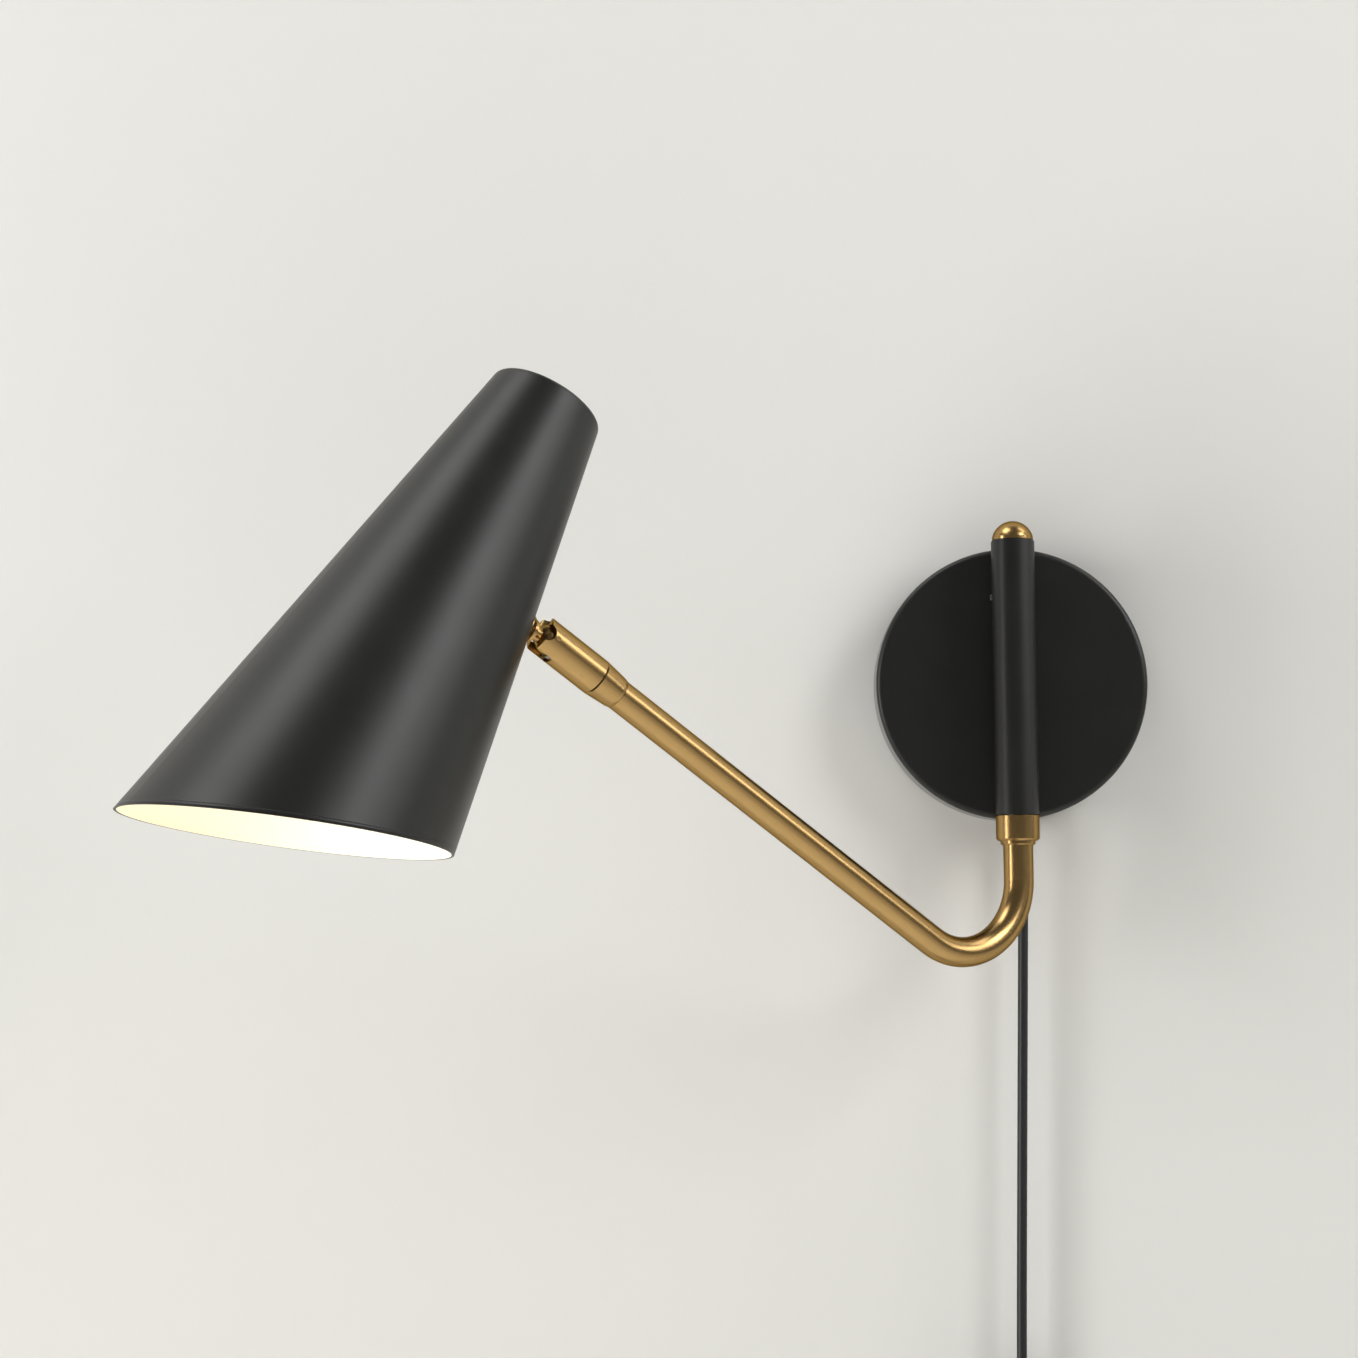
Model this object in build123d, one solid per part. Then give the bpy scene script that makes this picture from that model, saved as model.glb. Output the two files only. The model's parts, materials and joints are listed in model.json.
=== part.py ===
from build123d import *
import math
import os

# Swing arm wall sconce, millimetres.
# World frame: X to the right along the wall, Y into the wall, Z up.
# Origin: the centre of the wall plate's back face, on the wall.

# ---- driving dimensions -------------------------------------------------------------
CANOPY_R = 60.0          # round wall plate
CANOPY_DEPTH = 22.0
CANOPY_WALL = 1.2
CANOPY_EDGE = 2.5        # rounding of the plate's front edge

PLATE_R = 42.0           # bracket plate screwed to the wall
PLATE_T = 1.5
WALL_HOLE_X = 30.0       # wall screw holes, each side of the centre
WALL_HOLE_R = 2.5
TAB_ANGLE = 120.0        # line through the two canopy screws, from +X

AXIS_Y = -35.5           # the arm swings about a vertical line this far out from the wall
SLEEVE_R = 9.5           # fixed black tube
SLEEVE_BORE_R = 7.0
SLEEVE_TOP = 61.6
SLEEVE_BOTTOM = -57.5
STEADY_Z = 27.0          # screws that hold the sleeve, above and below the hollow nipple
SPINDLE_R = 5.0          # hollow spindle that turns in the sleeve
SPINDLE_BORE_R = 3.75
BUSH_LENGTH = 14.0
FLANGE_T = 0.6
SEAM = 0.2               # gap between faces that turn on each other

STOP_Z = 37.0            # stop screw and the grooved collar that it runs in
STOP_R = 6.7
STOP_TIP_R = 1.2
STOP_SCREW_R = 1.5
GROOVE_FLOOR_R = 5.5
GROOVE_HALF = 1.8

RING_BOTTOM = -69.5      # brass ring under the sleeve
SHOULDER_R = 7.6
SHOULDER_H = 1.8
DOME_R = 8.9
DOME_H = 8.2

ARM_R = 6.5              # arm tube
ARM_BORE_R = 5.3
BEND_START_Z = -86.5
BEND_R = 31.0
RISE = 33.0              # climb of the straight part, degrees
SWING = 33.0             # arm's turn away from the wall at rest, degrees
SWING_RANGE = (-25.0, 139.0)
STRAIGHT = 187.8         # from the end of the bend to the end of the tube
KNUCKLE_SEAM = 200.2     # from the end of the bend to the rolling joint
PIVOT = 226.0            # from the end of the bend to the tilting joint

HOUSING_R = 8.0
HOUSING_BORE_R = 6.55
HOUSING_END = 5.0        # mouth, beyond the pivot
MOUTH_R = 5.0
BALL_R = 6.3
NECK_R = 3.25
NOTCH_W = 7.2            # notches in the housing's mouth
NOTCH_DEPTH = 3.3
SLOT_DEPTH = 9.0         # deep slot that the neck swings down into
WIRE_BORE_R = 2.2
PIN_HINGE_R = 1.0        # pins that the ball tilts on
SWIVEL_R = 4.0           # spindle that the knuckle rolls on
SWIVEL_BORE_R = 2.9
STEM_R = 4.0             # threaded stem of the ball, through the shade's back

SHADE_GAP = 14.0         # from the pivot to the shade's outside, along the neck
SHADE_ATTACH = 84.5      # from the shade's top edge down its back to the neck
SHADE_TOP_R = 23.7
SHADE_SLOPE = 10.0       # half angle of the cone, degrees
SHADE_LENGTH = 208.5     # along the cone's axis, top to the middle of the mouth
MOUTH_SLANT = 24.0       # how far the mouth is cut off square, degrees
SHADE_WALL = 1.0

HOLDER_Z = 36.2          # bracket plate that carries the lamp holder, above the pivot
HOLDER_R = 13.5
BULB_R = 22.5

CORD_R = 2.25
CORD_Y = -11.0           # the cord hangs this far out from the wall
WIRE_R = 0.9             # single insulated wires inside the lamp
CLAMP_Z = -37.5          # cord clamp and terminal block inside the wall plate
CLAMP_SCREW_X = 8.0
BLOCK_AT = (25.0, -20.0)
SWITCH_X = -0.6
SWITCH_Z = -333.0        # middle of the in-line switch
SWITCH_SIZE = (24.0, 14.0, 56.0)
SWITCH_SCREW_AT = (6.5, 19.0)
ROCKER_Y = CORD_Y - 3.4
ROCKER_REST = -7.0       # one end of the rocker is pressed in at rest, degrees
COIL_R = 27.0            # put-away coil, to the middle of its bundle of turns
COIL_BUNDLE_R = 8.9
LEAD_X, LEAD_Y = 6.2, 2.25    # where the cord enters the bundle, off its middle
COIL_Z = -402.0
PLUG_TOP = -428.0
PLUG_SIZE = (26.0, 13.7, 33.0)
PLUG_PIN_X, PLUG_PIN_R, PLUG_PIN_L = 9.5, 2.0, 19.0

# ---- frames -------------------------------------------------------------------------
# Arm frame: origin on the swing axis, +X out along the arm, +Z up.
ARM = Location((0, AXIS_Y, 0), (0, 0, 180 + SWING))
TURN = math.radians(90 + RISE)
BEND_END = Vector(BEND_R * (1 - math.cos(TURN)), 0, BEND_START_Z - BEND_R * math.sin(TURN))
ALONG = Vector(math.cos(math.radians(RISE)), 0, math.sin(math.radians(RISE)))
PIVOT_AT = BEND_END + ALONG * PIVOT
# Knuckle frame: origin at the tilting pivot, +X out along the arm, +Z square to it.
# The shade's cone axis is parallel to Z here.
KNUCKLE = ARM * Location((PIVOT_AT.X, PIVOT_AT.Y, PIVOT_AT.Z), (0, -RISE, 0))
# Neck frame: +X from the pivot square into the shade's back.
NECK = KNUCKLE * Location((0, 0, 0), (0, SHADE_SLOPE, 0))

SLOPE = math.radians(SHADE_SLOPE)
FOOT = Vector(SHADE_GAP * math.cos(SLOPE), 0, -SHADE_GAP * math.sin(SLOPE))
SHADE_TOP_Z = FOOT.Z + SHADE_ATTACH * math.cos(SLOPE)
SHADE_X = FOOT.X + SHADE_ATTACH * math.sin(SLOPE) + SHADE_TOP_R
MOUTH_Z = SHADE_TOP_Z - SHADE_LENGTH
CORD_EXIT = (4.3, CORD_Y, -CANOPY_R)
COIL_X = SWITCH_X - COIL_R - LEAD_X
PLUG_Y = CORD_Y - LEAD_Y

os.makedirs("parts", exist_ok=True)


def keep(node, shape):
    """Writes one node, a single solid or a group of them."""
    solids = shape.solids() if hasattr(shape, "solids") else ShapeList(shape)
    whole = solids[0] if len(solids) == 1 else Compound(children=list(solids))
    export_step(whole, f"parts/{node}.step")
    return whole


def rod(axis, start, end, radius, at=(0.0, 0.0)):
    """Cylinder along 'x', 'y' or 'z' from start to end. at gives the other two places."""
    low, length = min(start, end), abs(end - start)
    turn = {"x": (0, 90, 0), "y": (-90, 0, 0), "z": (0, 0, 0)}[axis]
    place = {"x": (low, *at), "y": (at[0], low, at[1]), "z": (*at, low)}[axis]
    body = Cylinder(radius, length, align=(Align.CENTER, Align.CENTER, Align.MIN))
    return Location(place) * (Rotation(*turn) * body)


def pipe(axis, start, end, outer, inner, at=(0.0, 0.0)):
    low, high = min(start, end), max(start, end)
    return rod(axis, low, high, outer, at) - rod(axis, low - 1, high + 1, inner, at)


def block(x, y, z):
    """Box between two limits on each axis."""
    size = [b - a for a, b in (x, y, z)]
    middle = [(a + b) / 2 for a, b in (x, y, z)]
    return Location(middle) * Box(*size)


def spin_x(points, arc=360.0):
    """Turned piece about X. Points are (x, radius)."""
    face = make_face(Polyline(*[(x, 0, r) for x, r in points], close=True))
    return revolve(face, Axis.X, arc)


def spin_z(points, arc=360.0, start=0.0):
    """Turned piece about Z. Points are (radius, z)."""
    face = make_face(Polyline(*[(r, 0, z) for r, z in points], close=True))
    return Rotation(0, 0, start) * revolve(face, Axis.Z, arc)


def hexagon(axis, start, end, flats, at=(0.0, 0.0)):
    prism = extrude(RegularPolygon(flats / 2, 6, major_radius=False), abs(end - start))
    turn = {"x": (0, 90, 0), "y": (-90, 0, 0), "z": (0, 0, 0)}[axis]
    low = min(start, end)
    place = {"x": (low, *at), "y": (at[0], low, at[1]), "z": (*at, low)}[axis]
    return Location(place) * (Rotation(*turn) * prism)


def bent(points, radii, radius):
    """Round wire along straight runs with rounded corners."""
    line = FilletPolyline(*points, radius=radii) if len(points) > 2 else Line(*points)
    return sweep(Plane(line @ 0, z_dir=line % 0) * Circle(radius), path=line)


def corner_radii(points):
    """Each bend as large as its two runs allow."""
    radii = []
    for a, b, c in zip(points, points[1:], points[2:]):
        into, out = Vector(*b) - Vector(*a), Vector(*c) - Vector(*b)
        half_turn = math.radians(into.get_angle(out)) / 2
        radii.append(0.45 * min(into.length, out.length) / math.tan(half_turn))
    return radii


def cone_x(z, shrink=0.0):
    """Radius of the shade's outside at height z in the knuckle frame, less shrink."""
    return SHADE_TOP_R + (SHADE_TOP_Z - z) * math.tan(SLOPE) - shrink


# ---- wall side ----------------------------------------------------------------------
CANOPY_INNER = CANOPY_R - CANOPY_WALL
FRONT_BACK = -CANOPY_DEPTH + CANOPY_WALL      # inside of the plate's front wall
STRAP_T = 2.0
NIPPLE_R = 5.0
SCREW_Y = -9.0                                # canopy screws, out from the wall
TAB_R = CANOPY_INNER - 0.3


def wall_bracket():
    plate = rod("y", -PLATE_T, 0, PLATE_R)
    strap = block((-TAB_R, TAB_R), (-PLATE_T, 0), (-9, 9))
    tabs = [block((s * TAB_R - (s > 0) * PLATE_T, s * TAB_R + (s < 0) * PLATE_T),
                  (-14, 0), (-9, 9)) for s in (-1, 1)]
    screws = rod("x", -TAB_R - 1, TAB_R + 1, 1.9, (SCREW_Y, 0))
    arms = Rotation(0, -TAB_ANGLE, 0) * (strap + tabs - screws)
    bracket = plate + (arms & rod("y", -20, 1, TAB_R))
    for x in (-WALL_HOLE_X, WALL_HOLE_X):
        bracket -= rod("y", -PLATE_T - 1, 1, WALL_HOLE_R, (x, 0))
    return bracket


def canopy():
    cup = rod("y", -CANOPY_DEPTH, 0, CANOPY_R)
    front = cup.edges().filter_by(GeomType.CIRCLE).sort_by(Axis.Y)[0]
    cup = fillet(front, CANOPY_EDGE)
    inside = rod("y", FRONT_BACK, 1, CANOPY_INNER)
    deep = inside.edges().filter_by(GeomType.CIRCLE).sort_by(Axis.Y)[0]
    cup -= fillet(deep, CANOPY_EDGE - CANOPY_WALL)
    cup -= rod("y", -CANOPY_DEPTH - 1, FRONT_BACK + 1, NIPPLE_R + 0.2)
    for z in (-STEADY_Z, STEADY_Z):
        cup -= rod("y", -CANOPY_DEPTH - 1, FRONT_BACK + 1, 2.2, (0, z))
    cup -= Rotation(0, -TAB_ANGLE, 0) * rod("x", -CANOPY_R - 1, CANOPY_R + 1, 2.2, (SCREW_Y, 0))
    cup -= rod("z", -CANOPY_R - 1, -CANOPY_R + 5, 4.0, (CORD_EXIT[0], CORD_Y))
    return cup


def canopy_screws():
    screws = []
    for side in (0, 180):
        shank = rod("x", TAB_R - 4, CANOPY_R - 1.5, 1.9, (SCREW_Y, 0))
        head = spin_x([(CANOPY_R - 1.5, 0), (CANOPY_R - 0.1, 0), (CANOPY_R - 0.1, 2.1),
                       (CANOPY_R - 1.5, 2.1)]).moved(Location((0, SCREW_Y, 0)))
        slot = block((CANOPY_R - 0.7, CANOPY_R + 1), (SCREW_Y - 3, SCREW_Y + 3), (-0.3, 0.3))
        screws.append(Rotation(0, -TAB_ANGLE + side, 0) * (shank + head - slot))
    return screws


def backing_strap():
    strap = block((-11, 11), (FRONT_BACK, FRONT_BACK + STRAP_T), (-STEADY_Z - 9, STEADY_Z + 9))
    strap = fillet(strap.edges().filter_by(Axis.Y), 4)
    strap -= rod("y", FRONT_BACK - 1, FRONT_BACK + 3, NIPPLE_R + 0.1)
    for z in (-STEADY_Z, STEADY_Z):
        strap -= rod("y", FRONT_BACK - 1, FRONT_BACK + 3, 2.1, (0, z))
    return strap


def spacer(z, bore):
    """Saddle between the wall plate and the sleeve."""
    body = rod("y", AXIS_Y, -CANOPY_DEPTH, 6.5, (0, z))
    return body - rod("z", z - 8, z + 8, SLEEVE_R, (0, AXIS_Y)) - rod("y", -40, -20, bore, (0, z))


STRAP_BACK = FRONT_BACK + STRAP_T
WASHER_T = 0.8
NUT_T = 3.5
SLEEVE_WALL_Y = AXIS_Y + SLEEVE_BORE_R + 0.3  # where fixings end inside the sleeve's wall

keep("wall_bracket", wall_bracket())
canopy_shell = keep("canopy", canopy())
keep("canopy_screws", ShapeList(canopy_screws()))
keep("backing_strap", backing_strap())
keep("sleeve_spacers", ShapeList([spacer(z, bore) for z, bore in
                                  ((0, NIPPLE_R), (STEADY_Z, 2.0), (-STEADY_Z, 2.0))]))
keep("hollow_nipple", pipe("y", SLEEVE_WALL_Y, STRAP_BACK + WASHER_T + NUT_T + 2, NIPPLE_R, 3.6))
keep("nipple_washer", pipe("y", STRAP_BACK, STRAP_BACK + WASHER_T, 8.0, NIPPLE_R))
keep("nipple_nut", hexagon("y", STRAP_BACK + WASHER_T, STRAP_BACK + WASHER_T + NUT_T, 14)
     - rod("y", -25, 0, NIPPLE_R))

steady = []
for z in (-STEADY_Z, STEADY_Z):
    head = rod("y", STRAP_BACK, STRAP_BACK + 2.4, 3.6, (0, z))
    head = fillet(head.edges().filter_by(GeomType.CIRCLE).sort_by(Axis.Y)[-1], 1.2)
    head -= block((-0.5, 0.5), (STRAP_BACK + 1.4, STRAP_BACK + 3), (z - 4, z + 4))
    steady.append(head + rod("y", SLEEVE_WALL_Y, STRAP_BACK, 2.0, (0, z)))
keep("steady_screws", ShapeList([s for piece in steady for s in piece.solids()]))


def sleeve():
    tube = pipe("z", SLEEVE_BOTTOM, SLEEVE_TOP, SLEEVE_R, SLEEVE_BORE_R, (0, AXIS_Y))
    tube -= rod("y", AXIS_Y, AXIS_Y + 12, NIPPLE_R)
    for z in (-STEADY_Z, STEADY_Z):
        tube -= rod("y", AXIS_Y, AXIS_Y + 12, 2.0, (0, z))
    return tube - rod("x", -SLEEVE_R - 1, -4, STOP_SCREW_R, (AXIS_Y, STOP_Z))


keep("pivot_sleeve", sleeve())


def bush(z_inner, z_end):
    """Flanged plastic bearing: barrel inside the sleeve, flange over its end."""
    out = 1 if z_end > z_inner else -1
    barrel = pipe("z", z_inner, z_end, SLEEVE_BORE_R, SPINDLE_R + 0.06, (0, AXIS_Y))
    return barrel + pipe("z", z_end, z_end + out * FLANGE_T, SLEEVE_R - 0.4,
                         SPINDLE_R + 0.06, (0, AXIS_Y))


keep("upper_bush", bush(SLEEVE_TOP - BUSH_LENGTH, SLEEVE_TOP))
keep("lower_bush", bush(SLEEVE_BOTTOM + BUSH_LENGTH, SLEEVE_BOTTOM))


def stop_screw():
    shank = rod("x", -SLEEVE_R, -STOP_R - 0.2, STOP_SCREW_R, (AXIS_Y, STOP_Z))
    tip = rod("x", -STOP_R - 0.2, -GROOVE_FLOOR_R - 0.4, STOP_TIP_R, (AXIS_Y, STOP_Z))
    head = rod("x", -SLEEVE_R - 0.9, -SLEEVE_R + 0.5, STOP_SCREW_R, (AXIS_Y, STOP_Z))
    head = fillet(head.edges().filter_by(GeomType.CIRCLE).sort_by(Axis.X)[0], 0.6)
    slot = block((-SLEEVE_R - 2, -SLEEVE_R - 0.5), (AXIS_Y - 0.25, AXIS_Y + 0.25),
                 (STOP_Z - 2, STOP_Z + 2))
    return shank + tip + head - slot


keep("stop_screw", stop_screw())

# ---- inside the wall plate ----------------------------------------------------------
BLOCK_X, BLOCK_Z = BLOCK_AT


def terminal_block():
    body = block((BLOCK_X - 10, BLOCK_X + 10), (-15.5, -PLATE_T), (BLOCK_Z - 8, BLOCK_Z + 8))
    body = fillet(body.edges().filter_by(Axis.Y), 1.5)
    for dx in (-5, 5):
        body -= rod("z", BLOCK_Z - 9, BLOCK_Z + 9, 1.6, (BLOCK_X + dx, -7))
        for dz in (-4, 4):
            body -= rod("y", -16, -7, 1.7, (BLOCK_X + dx, BLOCK_Z + dz))
    return body - rod("y", -16, 0, 1.6, (BLOCK_X, BLOCK_Z))


def terminal_screws():
    screws = []
    for dx in (-5, 5):
        for dz in (-4, 4):
            at = (BLOCK_X + dx, BLOCK_Z + dz)
            slot = block((at[0] - 2, at[0] + 2), (-14.5, -13), (at[1] - 0.3, at[1] + 0.3))
            screws.append(rod("y", -14, -9, 1.5, at) - slot)
    screws.append(rod("y", -17, -PLATE_T, 1.5, (BLOCK_X, BLOCK_Z))
                  + rod("y", -17.3, -15.5, 2.6, (BLOCK_X, BLOCK_Z)))
    return screws


CLAMP_X = CORD_EXIT[0]
WIRE_START_Z = CLAMP_Z + 10


def clamp_base():
    base = block((CLAMP_X - 12, CLAMP_X + 12), (CORD_Y, -PLATE_T), (CLAMP_Z - 4, CLAMP_Z + 4))
    base -= rod("z", CLAMP_Z - 5, CLAMP_Z + 5, CORD_R, (CLAMP_X, CORD_Y))
    return fillet(base.edges().filter_by(Axis.Y), 1)


def clamp_bar():
    bar = block((CLAMP_X - 12, CLAMP_X + 12), (CORD_Y - 4, CORD_Y - 0.6), (CLAMP_Z - 4, CLAMP_Z + 4))
    bar -= rod("z", CLAMP_Z - 5, CLAMP_Z + 5, CORD_R, (CLAMP_X, CORD_Y))
    bar = fillet(bar.edges().filter_by(Axis.Y), 1)
    for dx in (-CLAMP_SCREW_X, CLAMP_SCREW_X):
        bar -= rod("y", -16, -10, 1.55, (CLAMP_X + dx, CLAMP_Z))
    return bar


def clamp_screws():
    screws = []
    for dx in (-CLAMP_SCREW_X, CLAMP_SCREW_X):
        at = (CLAMP_X + dx, CLAMP_Z)
        head = rod("y", CORD_Y - 5.8, CORD_Y - 4, 2.7, at)
        slot = block((at[0] - 3, at[0] + 3), (CORD_Y - 6, CORD_Y - 5), (at[1] - 0.35, at[1] + 0.35))
        screws.append(head + rod("y", CORD_Y - 4, CORD_Y + 5, 1.5, at) - slot)
    return screws


clamp_shanks = [rod("y", CORD_Y - 4, CORD_Y + 5.2, 1.5, (CLAMP_X + dx, CLAMP_Z))
                for dx in (-CLAMP_SCREW_X, CLAMP_SCREW_X)]
keep("terminal_block", terminal_block())
keep("terminal_screws", ShapeList(terminal_screws()))
keep("cord_clamp_base", clamp_base() - clamp_shanks)
keep("cord_clamp_bar", clamp_bar())
keep("cord_clamp_screws", ShapeList(clamp_screws()))

# ---- mains cord ---------------------------------------------------------------------
RELIEF_TIP = -CANOPY_R - 24


def strain_relief():
    """Rubber bush in the wall plate's lower edge, with a tapered sleeve."""
    x, y = CORD_EXIT[:2]
    edge = -math.sqrt(CANOPY_R**2 - x**2)
    inner = edge + CANOPY_WALL
    body = spin_z([(0, inner + 1.4), (5.0, inner + 1.4), (5.0, inner), (3.9, inner),
                   (3.9, edge - 0.1), (5.0, edge - 0.1), (5.0, edge - 1.6), (4.0, edge - 2.2),
                   (3.1, RELIEF_TIP + 0.6), (2.8, RELIEF_TIP), (0, RELIEF_TIP)])
    body = body.moved(Location((x, y, 0)))
    for i in range(4):
        z = edge - 5 - 4.4 * i
        body -= pipe("z", z - 0.8, z + 0.8, 6.0, 3.1 - 0.1 * i, (x, y))
    return body - rod("z", RELIEF_TIP - 1, -CANOPY_R + 6, CORD_R, (x, y)) - canopy_shell


SWITCH_TOP = SWITCH_Z + SWITCH_SIZE[2] / 2
SWITCH_BOTTOM = SWITCH_Z - SWITCH_SIZE[2] / 2
UPPER_ROUTE = [(CORD_EXIT[0], CORD_Y, RELIEF_TIP), (SWITCH_X, CORD_Y, SWITCH_TOP)]
LOWER_ROUTE = [(SWITCH_X, CORD_Y, SWITCH_BOTTOM), (SWITCH_X, CORD_Y + LEAD_Y, COIL_Z)]
TAIL_ROUTE = [(SWITCH_X, PLUG_Y, COIL_Z), (SWITCH_X, PLUG_Y, PLUG_TOP)]

keep("strain_relief", strain_relief())
keep("cord_entry", rod("z", RELIEF_TIP, WIRE_START_Z, CORD_R, CORD_EXIT[:2]))
coil = Location((COIL_X, CORD_Y, COIL_Z)) * (Rotation(90, 0, 0) * Torus(COIL_R, COIL_BUNDLE_R))
keep("cord_coil", coil)
runs = []
for route in (UPPER_ROUTE, LOWER_ROUTE, TAIL_ROUTE):
    cord = bent(route, [], CORD_R)
    length = (Vector(*route[1]) - Vector(*route[0])).length
    print("cord run, straight, length", round(length, 1), "volume / (section x length)",
          round(cord.volume / (math.pi * CORD_R**2 * length), 4))
    runs.append(cord - coil)
keep("mains_cord", runs[0])
keep("coil_leads", ShapeList(piece.solids()[0] for piece in runs[1:]))


def coil_tie():
    """Band round the bundle of turns, opposite the cord's entry."""
    band = pipe("z", -4, 4, COIL_BUNDLE_R + 1.2, COIL_BUNDLE_R)
    band = fillet(band.edges().filter_by(GeomType.CIRCLE), 0.4)
    band = band.moved(Location((COIL_X - COIL_R, CORD_Y, COIL_Z)))
    return band - coil


keep("coil_tie", coil_tie())


def switch_half(front):
    """One moulding of the in-line switch. The halves meet at the cord's middle plane."""
    width, depth, height = SWITCH_SIZE
    shell = Box(*SWITCH_SIZE)
    shell = fillet(shell.edges().filter_by(Axis.Y), 9)
    faces = shell.faces().sort_by(Axis.Y)
    shell = fillet(faces[0].edges() + faces[-1].edges(), 2.5)
    shell -= Box(width - 4, depth - 4, height - 12)
    shell = shell.moved(Location((SWITCH_X, CORD_Y, SWITCH_Z)))
    shell -= rod("z", SWITCH_BOTTOM - 1, SWITCH_TOP + 1, CORD_R + 0.05, (SWITCH_X, CORD_Y))
    far = 20.0
    span = (CORD_Y - far, CORD_Y - 0.05) if front else (CORD_Y + 0.05, CORD_Y + far)
    shell &= block((SWITCH_X - far, SWITCH_X + far), span, (SWITCH_BOTTOM - 1, SWITCH_TOP + 1))
    if front:
        shell -= block((SWITCH_X - 5.3, SWITCH_X + 5.3), (CORD_Y - far, CORD_Y),
                       (SWITCH_Z - 9.4, SWITCH_Z + 9.4))
        for x in (SWITCH_X - 6.4, SWITCH_X + 6.4):
            shell += block((x - 1, x + 1), (CORD_Y - 6, CORD_Y - 1.4), (SWITCH_Z - 3, SWITCH_Z + 3))
        shell -= rod("x", SWITCH_X - 6.8, SWITCH_X + 6.8, 1.06, (ROCKER_Y, SWITCH_Z))
    for side in (-1, 1):
        shell -= rod("y", CORD_Y - far, CORD_Y + 5, 1.3,
                     (SWITCH_X + SWITCH_SCREW_AT[0], SWITCH_Z + SWITCH_SCREW_AT[1] * side))
    return shell


def switch_rocker():
    """Two-way rocker with stub axles that turn in the front moulding."""
    top = CORD_Y - SWITCH_SIZE[1] / 2
    x0, x1 = SWITCH_X - 4.9, SWITCH_X + 4.9
    outline = Polyline((0, top - 0.2, SWITCH_Z), (0, top - 1.6, SWITCH_Z + 8.3),
                       (0, top + 1.4, SWITCH_Z + 8.6),
                       (0, ROCKER_Y + 1.6, SWITCH_Z + 3), (0, ROCKER_Y + 1.6, SWITCH_Z - 3),
                       (0, top + 1.4, SWITCH_Z - 8.6), (0, top - 1.6, SWITCH_Z - 8.3), close=True)
    body = extrude(make_face(outline), x1 - x0, dir=(1, 0, 0)).moved(Location((x0, 0, 0)))
    body = fillet(body.edges().filter_by(Axis.X).sort_by(Axis.Y)[:2], 0.6)
    body += rod("x", x0 - 1.6, x1 + 1.6, 1.0, (ROCKER_Y, SWITCH_Z))
    return body.rotate(Axis((0, ROCKER_Y, SWITCH_Z), (1, 0, 0)), ROCKER_REST)


keep("switch_back", switch_half(False))
keep("switch_front", switch_half(True))
keep("switch_rocker", switch_rocker())
screws = [rod("y", CORD_Y - 5.5, CORD_Y + 4, 1.25,
              (SWITCH_X + SWITCH_SCREW_AT[0], SWITCH_Z + SWITCH_SCREW_AT[1] * side)) for side in (-1, 1)]
keep("switch_screws", ShapeList(screws))


PLUG_COLLAR = 14.0
PLUG_BASE = PLUG_TOP - PLUG_SIZE[2] - PLUG_COLLAR


def plug_body():
    """Flat two-pin plug, waisted for the fingers, with a short cord collar."""
    width, depth, height = PLUG_SIZE
    wide = Plane.XY * RectangleRounded(width, depth, 4)
    waist = Plane.XY.offset(height * 0.45) * RectangleRounded(width * 0.8, depth * 0.94, 4)
    narrow = Plane.XY.offset(height) * RectangleRounded(width * 0.5, depth * 0.8, 4)
    body = loft([wide, waist, narrow])
    body += Location((0, 0, height - 1)) * Cone(4.6, 3.2, PLUG_COLLAR + 1,
                                                align=(Align.CENTER, Align.CENTER, Align.MIN))
    for dx in (-PLUG_PIN_X, PLUG_PIN_X):
        body -= rod("z", -1, 8, PLUG_PIN_R, (dx, 0))
    return body.moved(Location((SWITCH_X, PLUG_Y, PLUG_BASE)))


plug_pins = []
for dx in (-PLUG_PIN_X, PLUG_PIN_X):
    pin = rod("z", PLUG_BASE - PLUG_PIN_L, PLUG_BASE + 8, PLUG_PIN_R, (SWITCH_X + dx, PLUG_Y))
    plug_pins.append(fillet(pin.edges().filter_by(GeomType.CIRCLE).sort_by(Axis.Z)[0], 1.4))
keep("plug_body", plug_body())
keep("plug_pins", ShapeList(plug_pins))

# ---- wires inside the wall plate ----------------------------------------------------
def wires(routes):
    tubes = []
    for route in routes:
        tubes.append(bent(route, corner_radii(route), WIRE_R))
    return ShapeList(tubes)


inlet_routes, lead_routes = [], []
for side in (-1, 1):
    dx = 5 * side
    inlet_routes.append([(CLAMP_X + 1.1 * side, CORD_Y, WIRE_START_Z),
                         (CLAMP_X + 1.1 * side, CORD_Y, WIRE_START_Z + 5),
                         (CLAMP_X + 6 + 1.5 * side, -8.5, CLAMP_Z + 12 - 3.5 * side),
                         (BLOCK_X + dx, -7, CLAMP_Z + 1), (BLOCK_X + dx, -7, BLOCK_Z - 5)])
    lead_routes.append([(BLOCK_X + dx, -7, BLOCK_Z + 5), (BLOCK_X + dx, -7, BLOCK_Z + 13 + 4 * side),
                        (8 + 3 * side, -7.5, 1.5 + 2 * side), (1.2 * side, -8.5, 1.1 * side),
                        (1.2 * side, -14, 0.9 * side), (1.2 * side, -28.2, 0.9 * side)])
keep("canopy_wires", wires(inlet_routes + lead_routes))

# ---- arm ----------------------------------------------------------------------------
RING_TOP = SLEEVE_BOTTOM - FLANGE_T - SEAM
SOCKET_Z = -64.0          # where spindle and arm tube meet inside the ring
DOME_BASE = SLEEVE_TOP + FLANGE_T + SEAM


def spindle():
    tube = pipe("z", SOCKET_Z, DOME_BASE + 5.4, SPINDLE_R, SPINDLE_BORE_R)
    return ARM * (tube - block((-6, 1.3), (-6, 6), (-8, 8)))


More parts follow.
